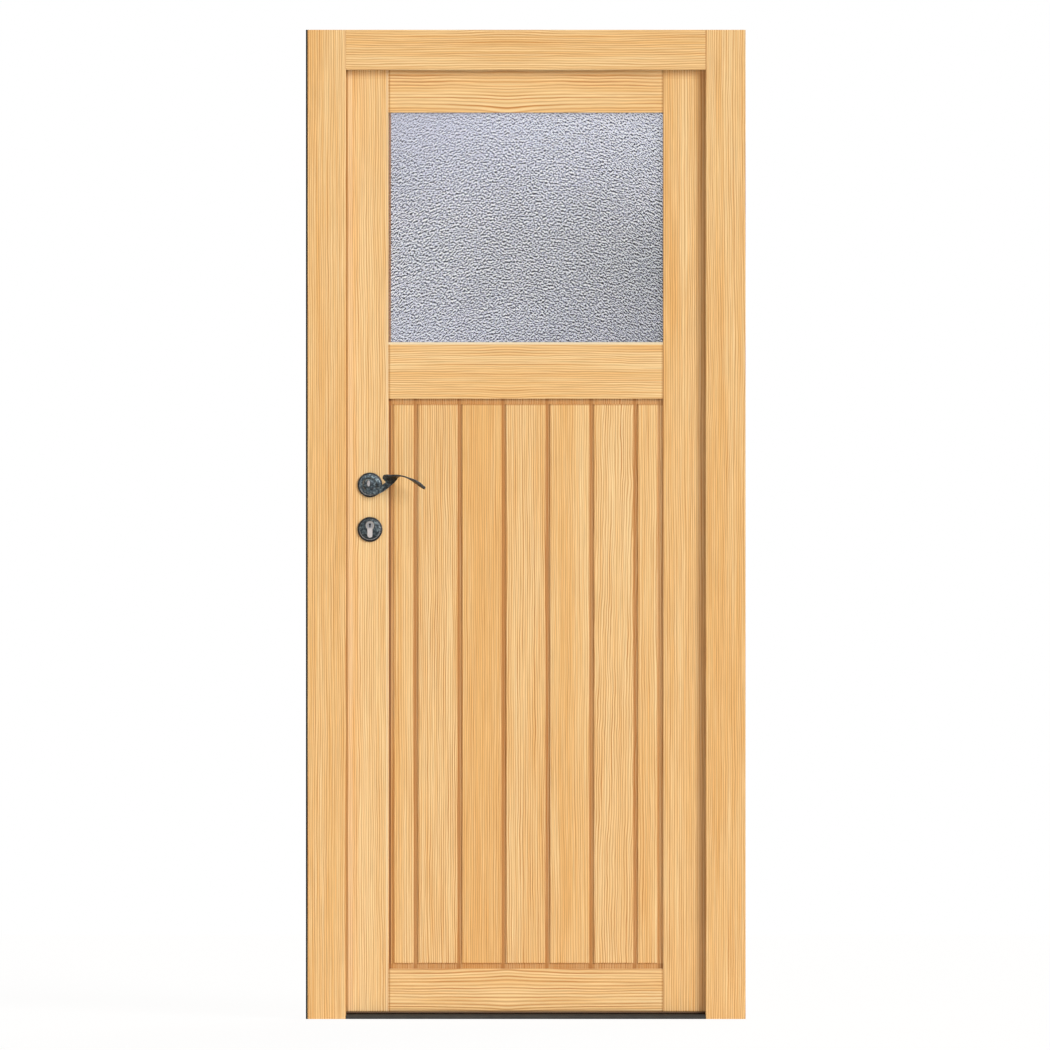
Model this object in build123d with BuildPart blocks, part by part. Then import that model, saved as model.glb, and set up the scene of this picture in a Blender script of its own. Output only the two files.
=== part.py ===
from build123d import *
import os

# Glazed pine side-entrance door, in millimetres.
# X runs to the right seen from outside, +Y points indoors, Z is up.
# The origin is on the floor, at the middle of the frame's width and depth.

# Frame
frame_width = 880.0
frame_height = 1980.0
frame_depth = 68.0
frame_face = 80.0  # face of the jambs and the head seen from outside
stop_depth = 16.0  # thickness of the frame's outer lip, which the leaf closes behind
stop_overlap = 17.0  # how far that lip covers the leaf's edge
frame_arris = 2.5  # rounding of the jambs' edges beside the leaf
head_arris = 1.2
head_tenon_length = 32.0

# Running clearances
running_gap = 5.0  # leaf to the frame's flat faces and to the threshold
edge_gap = 8.0  # leaf edge to the frame's rebate
floor_gap = 6.0  # leaf to the floor indoors
joint_gap = 0.2  # glued and screwed joints

# Threshold
threshold_height = 9.0
threshold_nose = 3.0
tread_groove_width = 2.0
tread_groove_depth = 1.0
tread_groove_pitch = 7.0
tread_groove_count = 6

# Leaf
leaf_thickness = 68.0
lap_cover = 13.0  # how far the leaf's lap covers the frame indoors
stile_sight = 85.0
top_rail_sight = 85.0
glass_sight_height = 460.0
middle_rail_height = 113.0
bottom_rail_top = 100.0  # top of the bottom rail above the floor
lip_thickness = 9.0  # outer lip that the glass and the boards seat against
rebate_width = 15.0
weathering = 4.0  # bevel on the middle rail's lip, under the glass
leaf_arris = 1.0
drip_rounding = 3.0
tenon_length = 45.0
tenon_thickness = 22.0
tenon_shoulder = 12.0
bead_chamfer = 5.0

# Board panel
board_count = 7  # the two end boards show about half a face
channel_width = 9.0
channel_depth = 5.0
border_width = 11.0  # channel between the boards' faces and the leaf's frame
board_core = 24.0
board_arris = 1.2
tongue_length = 8.0
tongue_thickness = 8.0
panel_edge_gap = 2.0

# Double glazing
pane_thickness = 4.0
cavity = 16.0
glazing_seal_depth = 3.0
glazing_seal_width = 9.0
pane_edge_gap = 4.0
spacer_width = 7.0
spacer_inset = 2.0

# Seals and the edge strip
seal_head_width = 8.0
seal_head_rounding = 2.0
seal_stem_width = 3.0
seal_stem_depth = 5.0
seal_clearance = 0.5
edge_strip_width = 3.6
edge_strip_depth = 10.0

# Lock and furniture
backset = 65.0
handle_drop = 173.0  # spindle below the middle rail
key_drop = 89.0  # middle of the key rose below the spindle
faceplate_width = 20.0
faceplate_thickness = 3.0
faceplate_margin = 32.5  # faceplate beyond the case, at each end
lock_case_thickness = 16.0
lock_case_margin = 40.5  # case beyond the spindle and the key rose's middle
lock_case_behind = 18.0  # case depth behind the spindle
bolt_width = 12.0
latch_height = 18.0
deadbolt_height = 34.0
bolt_recess = 1.5
strike_width = 24.0
strike_margin = 50.5  # strike beyond the spindle and the key rose's middle
strike_thickness = 3.0
strike_pocket_depth = 18.0
strike_play = 2.0  # round each bolt in the strike
rose_radius = 24.5
rose_rim = 4.0
rose_rise = 4.5  # dome of the rose above its rim
spindle_side = 8.0
spindle_seat = 14.0  # length of the spindle inside each lever
spindle_hole_radius = 10.0
follower_radius = 6.0
lever_shank_radius = 9.0
shank_clearance = 0.3
lever_hub_radius = 15.0
lever_hub_gap = 1.0
lever_hub_rim = 3.0
lever_hub_rise = 7.0
peen_width = 6.5  # hammered end of the spindle on the lever's hub
peen_height = 13.0
peen_proud = 2.0
cylinder_head_radius = 8.5
cylinder_leg_width = 10.0
cylinder_height = 33.0
cylinder_proud = 2.0
plug_radius = 5.5
plug_recess = 0.6
keyway_width = 2.4
keyway_height = 8.0
keyway_depth = 6.0
keyway_head_radius = 2.2

# Hinges
hinge_count = 3
hinge_end_height = 240.0  # lowest and highest hinge from the leaf's ends
barrel_radius = 9.0
barrel_half = 40.0
barrel_gap = 0.5
barrel_rounding = 3.0
pin_radius = 5.0
pin_height = 34.0
pin_clearance = 0.05
pin_end_gap = 1.5
frame_stud_radius = 4.5
leaf_stud_radius = 4.0
stud_length = 35.0
stud_offsets = (12.0, 28.0)  # from the hinge's middle
stud_clearance = 0.1

# Frame fixings
fixing_radius = 4.0
fixing_head_radius = 8.0
fixing_head_depth = 10.0
fixing_end_height = 190.0
fixing_inner_spacing = 534.0

# Depths, from outdoors to indoors
frame_out = -frame_depth / 2
frame_in = frame_depth / 2
stop_back = frame_out + stop_depth
leaf_out = stop_back + running_gap
leaf_in = leaf_out + leaf_thickness
leaf_middle = (leaf_out + leaf_in) / 2
lap_front = frame_in + running_gap
lip_back = leaf_out + lip_thickness
rail_middle = (lip_back + leaf_in) / 2
lock_middle = (leaf_out + lap_front) / 2
pane_front = lip_back + glazing_seal_depth
spacer_front = pane_front + pane_thickness
inner_pane_front = spacer_front + cavity
glazing_bead_front = inner_pane_front + pane_thickness
core_back = lip_back + board_core

# Half widths and heights
frame_half = frame_width / 2
clear_half = frame_half - frame_face
leaf_half = clear_half + stop_overlap
rebate_half = leaf_half + edge_gap
lap_half = rebate_half + lap_cover
sight_half = clear_half - stile_sight
seat_half = sight_half + rebate_width
clear_top = frame_height - frame_face
leaf_top = clear_top + stop_overlap
rebate_top = leaf_top + edge_gap
lap_top = rebate_top + lap_cover
leaf_bottom = threshold_height + running_gap
lap_bottom = floor_gap
glass_top = clear_top - top_rail_sight
glass_bottom = glass_top - glass_sight_height
panel_top = glass_bottom - middle_rail_height
panel_bottom = bottom_rail_top
seal_x = (clear_half + leaf_half) / 2
seal_z = (clear_top + leaf_top) / 2

# Places of the furniture, the hinges and the fixings
handle_x = backset - leaf_half
handle_height = panel_top - handle_drop
key_height = handle_height - key_drop
faceplate_middle = (handle_height + key_height) / 2
lock_case_height = key_drop + 2 * lock_case_margin
faceplate_height = lock_case_height + 2 * faceplate_margin
strike_height = key_drop + 2 * strike_margin
plug_height = key_height + cylinder_height / 2 - cylinder_head_radius
hinge_x = lap_half + running_gap + barrel_radius
hinge_y = (lap_front + leaf_in) / 2
hinge_lowest = leaf_bottom + hinge_end_height
hinge_step = (leaf_top - hinge_end_height - hinge_lowest) / (hinge_count - 1)
hinge_heights = [hinge_lowest + i * hinge_step for i in range(hinge_count)]
fixing_y = (stop_back + frame_in) / 2
fixing_middle = frame_height / 2
fixing_heights = (
    fixing_end_height,
    fixing_middle - fixing_inner_spacing / 2,
    fixing_middle + fixing_inner_spacing / 2,
    frame_height - fixing_end_height,
)
middle_plane = Plane.XZ.offset(-leaf_middle)
outward = Vector(0, -1, 0)

os.makedirs("parts", exist_ok=True)


def save(piece, name):
    piece.label = name
    export_step(piece, f"parts/{name}.step")


def around(middle, size):
    """The span of a size centred on a place."""
    return (middle - size / 2, middle + size / 2)


def block(x_span, y_span, z_span, mode=Mode.ADD):
    """A square-edged block between the ends of three spans, given in either order."""
    spans = [sorted(span) for span in (x_span, y_span, z_span)]
    with Locations(Vector(*[(low + high) / 2 for low, high in spans])):
        Box(*[high - low for low, high in spans], mode=mode)


def rod(start, direction, radius, length, mode=Mode.ADD):
    """A round bar or hole that runs from a point in a direction."""
    with Locations(Plane(origin=start, z_dir=direction)):
        Cylinder(radius, length, align=(Align.CENTER, Align.CENTER, Align.MIN), mode=mode)


def outline(plane, points):
    """A closed straight-sided face on a plane."""
    with BuildSketch(plane) as shape:
        with BuildLine():
            Polyline(*points, close=True)
        make_face()
    return shape.sketch


# Frame: the jambs run full height and the head is scribed between them
bolt_places = ((handle_height, latch_height), (key_height, deadbolt_height))
head_tenon_y = around(fixing_y, tenon_thickness)
head_tenon_z = (rebate_top + tenon_shoulder, frame_height - tenon_shoulder)


def jamb(side):
    """One jamb, on the left (-1) or the right (1), with its joints but no ironmongery."""
    with BuildPart() as piece:
        section = [
            (side * frame_half, frame_out),
            (side * clear_half, frame_out),
            (side * clear_half, stop_back),
            (side * rebate_half, stop_back),
            (side * rebate_half, frame_in),
            (side * frame_half, frame_in),
        ]
        extrude(outline(Plane.XY, section), amount=frame_height)
        front_edges = piece.edges().filter_by(Axis.Z).group_by(Axis.Y)[0]
        fillet(front_edges.sort_by(Axis.X)[0 if side > 0 else -1], frame_arris)
        block(
            around(side * seal_x, seal_stem_width + 2 * joint_gap),
            (stop_back - seal_stem_depth - joint_gap, stop_back),
            (threshold_height, seal_z),
            Mode.SUBTRACT,
        )
        block(
            (side * rebate_half, side * (rebate_half + head_tenon_length + joint_gap)),
            (head_tenon_y[0] - joint_gap, head_tenon_y[1] + joint_gap),
            (head_tenon_z[0] - joint_gap, head_tenon_z[1] + joint_gap),
            Mode.SUBTRACT,
        )
        for height in fixing_heights:
            mouth = (side * rebate_half, fixing_y, height)
            rod(mouth, (side, 0, 0), fixing_radius, frame_half - rebate_half, Mode.SUBTRACT)
            rod(mouth, (side, 0, 0), fixing_head_radius, fixing_head_depth, Mode.SUBTRACT)
    return piece.part


with BuildPart() as left_jamb:
    add(jamb(-1))
    block(
        (-frame_half, edge_strip_width - frame_half),
        (frame_out, frame_out + edge_strip_depth),
        (0, frame_height),
        Mode.SUBTRACT,
    )
    block(
        (-rebate_half, -rebate_half - strike_thickness),
        around(lock_middle, strike_width),
        around(faceplate_middle, strike_height),
        Mode.SUBTRACT,
    )
    for height, size in bolt_places:
        block(
            (-rebate_half, -rebate_half - strike_pocket_depth),
            around(lock_middle, bolt_width + 2 * strike_play),
            around(height, size + 2 * strike_play),
            Mode.SUBTRACT,
        )
save(left_jamb.part, "left_jamb")

with BuildPart() as right_jamb:
    add(jamb(1))
    for height in hinge_heights:
        for offset in stud_offsets:
            rod(
                (hinge_x, frame_in, height - offset),
                outward,
                frame_stud_radius + stud_clearance,
                stud_length + stud_clearance,
                Mode.SUBTRACT,
            )
save(right_jamb.part, "right_jamb")

with BuildPart() as frame_head:
    head_section = [
        (frame_out, clear_top),
        (frame_out, frame_height),
        (frame_in, frame_height),
        (frame_in, rebate_top),
        (stop_back, rebate_top),
        (stop_back, clear_top),
    ]
    extrude(outline(Plane.YZ.offset(-rebate_half), head_section), amount=2 * rebate_half)
    fillet(frame_head.edges().filter_by(Axis.X).group_by(Axis.Y)[0].sort_by(Axis.Z)[0], head_arris)
    for side in (-1, 1):
        block(
            (side * clear_half, side * rebate_half),
            (frame_out, stop_back),
            (clear_top, frame_height),
            Mode.SUBTRACT,
        )
        block((side * rebate_half, side * (rebate_half + head_tenon_length)), head_tenon_y, head_tenon_z)
    block(
        (-clear_half, clear_half),
        (stop_back - seal_stem_depth - joint_gap, stop_back),
        around(seal_z, seal_stem_width + 2 * joint_gap),
        Mode.SUBTRACT,
    )
save(frame_head.part, "frame_head")

with BuildPart() as threshold:
    threshold_section = [
        (frame_out, 0),
        (frame_out, threshold_height - threshold_nose),
        (frame_out + threshold_nose, threshold_height),
        (frame_in, threshold_height),
        (frame_in, 0),
    ]
    extrude(outline(Plane.YZ.offset(-rebate_half), threshold_section), amount=2 * rebate_half)
    for side in (-1, 1):
        block(
            (side * clear_half, side * rebate_half),
            (frame_out, stop_back),
            (0, threshold_height),
            Mode.SUBTRACT,
        )
    for i in range(tread_groove_count):
        groove_y = leaf_out + (i + 1) * tread_groove_pitch
        block(
            (-rebate_half, rebate_half),
            around(groove_y, tread_groove_width),
            (threshold_height - tread_groove_depth, threshold_height),
            Mode.SUBTRACT,
        )
save(threshold.part, "threshold")

# Seals of the frame's rebate: a stem in the groove and a soft head towards the leaf
seal_head_depth = leaf_out - seal_clearance - stop_back
seal_under_head = seal_z - seal_head_width / 2 - joint_gap


def seal_section(plane):
    """The seal's section on a plane whose X points indoors from the stop's back face."""
    with BuildSketch(plane) as shape:
        with Locations((seal_head_depth / 2, 0)):
            Rectangle(seal_head_depth, seal_head_width)
        with Locations((-seal_stem_depth / 2, 0)):
            Rectangle(seal_stem_depth, seal_stem_width)
    return shape.sketch


with BuildPart() as frame_seals:
    for side in (-1, 1):
        foot = Plane(origin=(side * seal_x, stop_back, threshold_height), x_dir=(0, 1, 0), z_dir=(0, 0, 1))
        extrude(seal_section(foot), amount=seal_under_head - threshold_height)
    start = Plane(origin=(-clear_half, stop_back, seal_z), x_dir=(0, 1, 0), z_dir=(1, 0, 0))
    extrude(seal_section(start), amount=2 * clear_half)
    lips = frame_seals.edges().group_by(Axis.Y)[-1].filter_by(lambda edge: edge.length > frame_face)
    fillet(lips, seal_head_rounding)
save(frame_seals.part, "frame_seals")

with BuildPart() as jamb_edge_strip:
    block(
        (-frame_half, edge_strip_width - frame_half - joint_gap),
        (frame_out, frame_out + edge_strip_depth - joint_gap),
        (0, frame_height),
    )
save(jamb_edge_strip.part, "jamb_edge_strip")

with BuildPart() as strike_plate:
    block(
        (-rebate_half, -rebate_half - strike_thickness),
        around(lock_middle, strike_width - 2 * joint_gap),
        around(faceplate_middle, strike_height - 2 * joint_gap),
    )
    for height, size in bolt_places:
        block(
            (-rebate_half, -rebate_half - strike_thickness),
            around(lock_middle, bolt_width + 2 * strike_play),
            around(height, size + 2 * strike_play),
            Mode.SUBTRACT,
        )
save(strike_plate.part, "strike_plate")

# Leaf frame: stiles of one section, with the rails scribed over their lips
case_front = -leaf_half
case_back = handle_x + lock_case_behind
tenon_y = around(rail_middle, tenon_thickness)
rail_seats = {
    "top_rail": (glass_top + rebate_width, leaf_top),
    "middle_rail": (panel_top + rebate_width, glass_bottom - rebate_width),
    "bottom_rail": (leaf_bottom, panel_bottom - rebate_width),
}


def tenon_span(seat):
    return (seat[0] + tenon_shoulder, seat[1] - tenon_shoulder)


def profile_cylinder(plane, grow):
    """The outline of a profile cylinder: a round head over a narrower leg."""
    head_middle = cylinder_height / 2 - cylinder_head_radius
    leg_radius = cylinder_leg_width / 2
    leg_end = leg_radius - cylinder_height / 2
    with BuildSketch(plane) as shape:
        with Locations((0, head_middle)):
            Circle(cylinder_head_radius + grow)
        with Locations((0, (head_middle + leg_end) / 2)):
            Rectangle(cylinder_leg_width + 2 * grow, head_middle - leg_end)
        with Locations((0, leg_end)):
            Circle(leg_radius + grow)
    return shape.sketch


def furniture_plane(height, y):
    """A plane across the leaf at the lock's backset, facing outdoors."""
    return Plane(origin=(handle_x, y, height), x_dir=(1, 0, 0), z_dir=outward)


def stile(side):
    """One stile, on the left (-1) or the right (1), with its mortises."""
    with BuildPart() as piece:
        section = [
            (side * sight_half, leaf_out),
            (side * leaf_half, leaf_out),
            (side * leaf_half, lap_front),
            (side * lap_half, lap_front),
            (side * lap_half, leaf_in),
            (side * seat_half, leaf_in),
            (side * seat_half, lip_back),
            (side * sight_half, lip_back),
        ]
        extrude(outline(Plane.XY.offset(lap_bottom), section), amount=lap_top - lap_bottom)
        inner_edge = piece.edges().filter_by(Axis.Z).group_by(Axis.Y)[0].sort_by(Axis.X)
        chamfer(inner_edge[0 if side > 0 else -1], leaf_arris)
        for ends in ((lap_bottom, leaf_bottom), (leaf_top, lap_top)):
            block((side * sight_half, side * leaf_half), (leaf_out, lap_front), ends, Mode.SUBTRACT)
        drip_edge = piece.edges().filter_by(Axis.X).group_by(Axis.Y)[0].sort_by(Axis.Z)[0]
        fillet(drip_edge, drip_rounding)
        for seat in rail_seats.values():
            span = tenon_span(seat)
            block(
                (side * seat_half, side * (seat_half + tenon_length + joint_gap)),
                (tenon_y[0] - joint_gap, tenon_y[1] + joint_gap),
                (span[0] - joint_gap, span[1] + joint_gap),
                Mode.SUBTRACT,
            )
    return piece.part


with BuildPart() as lock_stile:
    add(stile(-1))
    block(
        (case_front, case_front + faceplate_thickness),
        around(lock_middle, faceplate_width),
        around(faceplate_middle, faceplate_height),
        Mode.SUBTRACT,
    )
    block(
        (case_front, case_back),
        around(lock_middle, lock_case_thickness),
        around(faceplate_middle, lock_case_height),
        Mode.SUBTRACT,
    )
    rod((handle_x, leaf_in, handle_height), outward, spindle_hole_radius, leaf_thickness, Mode.SUBTRACT)
    cylinder_hole = profile_cylinder(furniture_plane(key_height, leaf_in), joint_gap)
    extrude(cylinder_hole, amount=leaf_thickness, mode=Mode.SUBTRACT)
save(lock_stile.part, "lock_stile")

with BuildPart() as hinge_stile:
    add(stile(1))
    for height in hinge_heights:
        for offset in stud_offsets:
            rod(
                (lap_half, hinge_y, height + offset),
                (-1, 0, 0),
                leaf_stud_radius + stud_clearance,
                stud_length + stud_clearance,
                Mode.SUBTRACT,
            )
save(hinge_stile.part, "hinge_stile")


def rail(points, seat):
    """A rail of one section, cut back at its ends for the stiles' lips, with its tenons."""
    with BuildPart() as piece:
        extrude(outline(Plane.YZ.offset(-seat_half), points), amount=2 * seat_half)
        for side in (-1, 1):
            block(
                (side * sight_half, side * seat_half),
                (leaf_out, lip_back),
                (lap_bottom, lap_top),
                Mode.SUBTRACT,
            )
            block((side * seat_half, side * (seat_half + tenon_length)), tenon_y, tenon_span(seat))
    return piece


top_rail = rail(
    [
        (leaf_out, glass_top),
        (leaf_out, leaf_top),
        (lap_front, leaf_top),
        (lap_front, lap_top),
        (leaf_in, lap_top),
        (leaf_in, glass_top + rebate_width),
        (lip_back, glass_top + rebate_width),
        (lip_back, glass_top),
    ],
    rail_seats["top_rail"],
)
save(top_rail.part, "top_rail")

middle_rail = rail(
    [
        (leaf_out, panel_top),
        (leaf_out, glass_bottom - weathering),
        (leaf_out + weathering, glass_bottom),
        (lip_back, glass_bottom),
        (lip_back, glass_bottom - rebate_width),
        (leaf_in, glass_bottom - rebate_width),
        (leaf_in, panel_top + rebate_width),
        (lip_back, panel_top + rebate_width),
        (lip_back, panel_top),
    ],
    rail_seats["middle_rail"],
)
save(middle_rail.part, "middle_rail")

bottom_rail = rail(
    [
        (leaf_out + drip_rounding, leaf_bottom),
        (leaf_out, leaf_bottom + drip_rounding),
        (leaf_out, panel_bottom),
        (lip_back, panel_bottom),
        (lip_back, panel_bottom - rebate_width),
        (leaf_in, panel_bottom - rebate_width),
        (leaf_in, lap_bottom),
        (lap_front, lap_bottom),
        (lap_front, leaf_bottom),
    ],
    rail_seats["bottom_rail"],
)
save(bottom_rail.part, "bottom_rail")

# Panel of tongue-and-groove boards: raised faces on a core that seats behind the leaf's lips
face_edge = sight_half - border_width
board_pitch = 2 * face_edge / (board_count - 1)
channel_places = [(i - board_count / 2) * board_pitch for i in range(1, board_count)]
core_edge = sight_half + rebate_width - panel_edge_gap
face_span = (panel_bottom + border_width, panel_top - border_width)
core_span = (
    panel_bottom - rebate_width + panel_edge_gap,
    panel_top + rebate_width - panel_edge_gap,
)
tongue_middle = lip_back + board_core / 2

for index in range(board_count):
    first = index == 0
    last = index == board_count - 1
    face_left = -face_edge if first else channel_places[index - 1] + channel_width / 2
    face_right = face_edge if last else channel_places[index] - channel_width / 2
    core_left = -core_edge if first else face_left
    core_right = core_edge if last else face_right + channel_width - joint_gap
    with BuildPart() as board:
        block(
            (face_left, face_right),
            (lip_back - channel_depth, core_back + channel_depth),
            face_span,
        )
        faces = board.faces().filter_by(Axis.Y)
        chamfer(faces.edges(), board_arris)
        block((core_left, core_right), (lip_back, core_back), core_span)
        if not last:
            tongue_span = (core_right, core_right + tongue_length)
            block(tongue_span, around(tongue_middle, tongue_thickness), core_span)
        if not first:
            block(
                (core_left, core_left + tongue_length),
                around(tongue_middle, tongue_thickness + 2 * joint_gap),
                core_span,
                Mode.SUBTRACT,
            )
    save(board.part, f"panel_board_{index + 1}")


# Mitred beads that hold the glass and the boards from indoors
def bead(position, front, bottom, top):
    """One bead of an opening between two heights, behind the face it holds."""
    seat = seat_half - joint_gap
    low_seat = bottom - rebate_width + joint_gap
    high_seat = top + rebate_width - joint_gap
    corners = {
        "top": [(-seat, high_seat), (seat, high_seat), (sight_half, top), (-sight_half, top)],
        "bottom": [(-seat, low_seat), (seat, low_seat), (sight_half, bottom), (-sight_half, bottom)],
        "left": [(-seat, low_seat), (-seat, high_seat), (-sight_half, top), (-sight_half, bottom)],
        "right": [(seat, low_seat), (seat, high_seat), (sight_half, top), (sight_half, bottom)],
    }
    sight_edge = {
        "top": (Axis.Z, 0),
        "bottom": (Axis.Z, -1),
        "left": (Axis.X, -1),
        "right": (Axis.X, 0),
    }
    axis, place = sight_edge[position]
    with BuildPart() as piece:
        extrude(outline(Plane.XZ.offset(-leaf_in), corners[position]), amount=leaf_in - front)
        inside_edges = piece.edges().group_by(Axis.Y)[-1]
        chamfer(inside_edges.sort_by(axis)[place], bead_chamfer)
    return piece


for position in ("top", "bottom", "left", "right"):
    glazing_bead = bead(position, glazing_bead_front, glass_bottom, glass_top)
    save(glazing_bead.part, f"glazing_bead_{position}")
    panel_bead = bead(position, core_back, panel_bottom, panel_top)
    save(panel_bead.part, f"panel_bead_{position}")

# Double glazing: two panes on a spacer bar, bedded on a seal
pane_margin = rebate_width - pane_edge_gap
pane_half = sight_half + pane_margin
pane_span = (glass_bottom - pane_margin, glass_top + pane_margin)
pane_middle = (glass_bottom + glass_top) / 2


def ring(y_span, margin, width):
    """A rectangular ring round the glass, its outside a margin beyond the sight lines."""
    half_width = sight_half + margin
    half_height = glass_sight_height / 2 + margin
    with BuildPart() as piece:
        with BuildSketch(Plane.XZ.offset(-y_span[1])):
            with Locations((0, pane_middle)):
                Rectangle(2 * half_width, 2 * half_height)
                Rectangle(2 * (half_width - width), 2 * (half_height - width), mode=Mode.SUBTRACT)
        extrude(amount=y_span[1] - y_span[0])
    return piece


with BuildPart() as outer_pane:
    block((-pane_half, pane_half), (pane_front, spacer_front), pane_span)
save(outer_pane.part, "outer_pane")

with BuildPart() as inner_pane:
    block((-pane_half, pane_half), (inner_pane_front, glazing_bead_front), pane_span)
save(inner_pane.part, "inner_pane")

glazing_spacer = ring((spacer_front, inner_pane_front), pane_margin - spacer_inset, spacer_width)
save(glazing_spacer.part, "glazing_spacer")

glazing_seal = ring((lip_back, pane_front), pane_margin, glazing_seal_width)
save(glazing_seal.part, "glazing_seal")

# Mortise lock, with its bolts drawn back flush with the faceplate
with BuildPart() as mortise_lock:
    block(
        (case_front, case_front + faceplate_thickness),
        around(lock_middle, faceplate_width - 2 * joint_gap),
        around(faceplate_middle, faceplate_height - 2 * joint_gap),
    )
    block(
        (case_front + faceplate_thickness, case_back - joint_gap),
        around(lock_middle, lock_case_thickness - 2 * joint_gap),
        around(faceplate_middle, lock_case_height - 2 * joint_gap),
    )
    for height, size in bolt_places:
        block(
            (case_front, case_front + bolt_recess),
            around(lock_middle, bolt_width),
            around(height, size),
            Mode.SUBTRACT,
        )
    rod((handle_x, leaf_in, handle_height), outward, follower_radius, leaf_thickness, Mode.SUBTRACT)
    cylinder_hole = profile_cylinder(furniture_plane(key_height, leaf_in), joint_gap)
    extrude(cylinder_hole, amount=leaf_thickness, mode=Mode.SUBTRACT)
save(mortise_lock.part, "mortise_lock")


# Roses, cylinder and levers, outside first, the inside ones as mirror images
def dome(back, radius, rim, rise):
    """A round plate that faces outdoors: a flat back, a straight rim and a domed face."""
    with BuildPart() as piece:
        with BuildSketch(Plane(origin=back, x_dir=(1, 0, 0), z_dir=(0, 0, -1))):
            with BuildLine():
                Polyline((0, rim + rise), (0, 0), (radius, 0), (radius, rim))
                RadiusArc((radius, rim), (0, rim + rise), -(radius**2 + rise**2) / (2 * rise))
            make_face()
        revolve(axis=Axis(back, tuple(outward)))
    return piece.part


rose_thickness = rose_rim + rose_rise


def save_pair(piece, name):
    save(piece, f"{name}_outside")
    with BuildPart() as inside:
        mirror(piece, about=middle_plane)
    save(inside.part, f"{name}_inside")


with BuildPart() as handle_rose:
    add(dome((handle_x, leaf_out, handle_height), rose_radius, rose_rim, rose_rise))
    rod(
        (handle_x, leaf_out, handle_height),
        outward,
        lever_shank_radius + shank_clearance,
        rose_thickness,
        Mode.SUBTRACT,
    )
save_pair(handle_rose.part, "handle_rose")

with BuildPart() as key_rose:
    add(dome((handle_x, leaf_out, key_height), rose_radius, rose_rim, rose_rise))
    rose_hole = profile_cylinder(furniture_plane(key_height, leaf_out), joint_gap)
    extrude(rose_hole, amount=rose_thickness, mode=Mode.SUBTRACT)
save_pair(key_rose.part, "key_rose")

cylinder_out = leaf_out - rose_thickness - cylinder_proud
cylinder_in = leaf_in + rose_thickness + cylinder_proud
with BuildPart() as lock_cylinder:
    cylinder_section = profile_cylinder(furniture_plane(key_height, cylinder_in), 0)
    extrude(cylinder_section, amount=cylinder_in - cylinder_out)
    for face_y, inward in ((cylinder_out, 1), (cylinder_in, -1)):
        rod((handle_x, face_y, plug_height), (0, inward, 0), plug_radius, plug_recess, Mode.SUBTRACT)
        block(
            around(handle_x, keyway_width),
            (face_y, face_y + inward * keyway_depth),
            around(plug_height, keyway_height),
            Mode.SUBTRACT,
        )
        keyway_head = (handle_x, face_y, plug_height + keyway_height / 2 - keyway_head_radius)
        rod(keyway_head, (0, inward, 0), keyway_head_radius, keyway_depth, Mode.SUBTRACT)
save(lock_cylinder.part, "lock_cylinder")

# Forged lever: a flat bar that curls from under the hub, flares and turns on edge into a leaf-shaped grip.
# Each station is right, up and out from the spindle's mouth, then width, thickness and turn.
lever_stations = (
    (-7.0, -7.5, 13.0, 5.0, 4.5, 0.0),
    (2.0, -13.5, 15.5, 11.0, 5.5, 0.0),
    (15.0, -12.0, 19.0, 13.0, 5.5, 0.0),
    (29.0, -3.5, 25.0, 14.0, 5.0, 3.0),
    (36.8, 10.6, 34.0, 26.0, 4.5, 18.0),
    (47.0, 15.2, 41.0, 25.5, 4.0, 62.0),
    (57.0, 18.2, 44.5, 25.0, 3.2, 86.0),
    (73.0, 15.2, 46.0, 25.0, 2.8, 90.0),
    (88.0, 8.4, 46.5, 20.5, 3.0, 82.0),
    (101.0, 0.0, 46.0, 13.5, 3.4, 74.0),
    (110.5, -7.0, 45.5, 6.0, 3.4, 72.0),
)
lever_mouth = Vector(handle_x, leaf_out, handle_height)


def lever_planes():
    """The plane of each station, square to the run from the station before to the one after."""
    centres = [lever_mouth + Vector(right, -out, up) for right, up, out, *_ in lever_stations]
    planes = []
    for i, centre in enumerate(centres):
        run = centres[min(i + 1, len(centres) - 1)] - centres[max(i - 1, 0)]
        flat_width = outward.cross(run).normalized()
        turn = lever_stations[i][-1]
        width_way = flat_width.rotate(Axis((0, 0, 0), tuple(run)), turn)
        planes.append(Plane(origin=centre, x_dir=width_way, z_dir=run))
    return planes


hub_back = leaf_out - rose_thickness - lever_hub_gap
hub_front = hub_back - lever_hub_rim - lever_hub_rise
with BuildPart() as lever:
    for plane, station in zip(lever_planes(), lever_stations):
        with BuildSketch(plane):
            Rectangle(station[3], station[4])
    loft()
    add(dome((handle_x, hub_back, handle_height), lever_hub_radius, lever_hub_rim, lever_hub_rise))
    with BuildSketch(furniture_plane(handle_height, hub_front)) as peen:
        Ellipse(peen_width / 2, peen_height / 2)
    extrude(peen.sketch, amount=peen_proud)
    extrude(peen.sketch, amount=-lever_hub_rise)
    rod(
        (handle_x, leaf_out - joint_gap, handle_height),
        outward,
        lever_shank_radius,
        rose_thickness + lever_hub_gap,
    )
    block(
        around(handle_x, spindle_side + 2 * joint_gap),
        (leaf_out, leaf_out - spindle_seat - joint_gap),
        around(handle_height, spindle_side + 2 * joint_gap),
        Mode.SUBTRACT,
    )
save_pair(lever.part, "lever")

with BuildPart() as handle_spindle:
    block(
        around(handle_x, spindle_side),
        (leaf_out - spindle_seat, leaf_in + spindle_seat),
        around(handle_height, spindle_side),
    )
save(handle_spindle.part, "handle_spindle")

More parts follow.
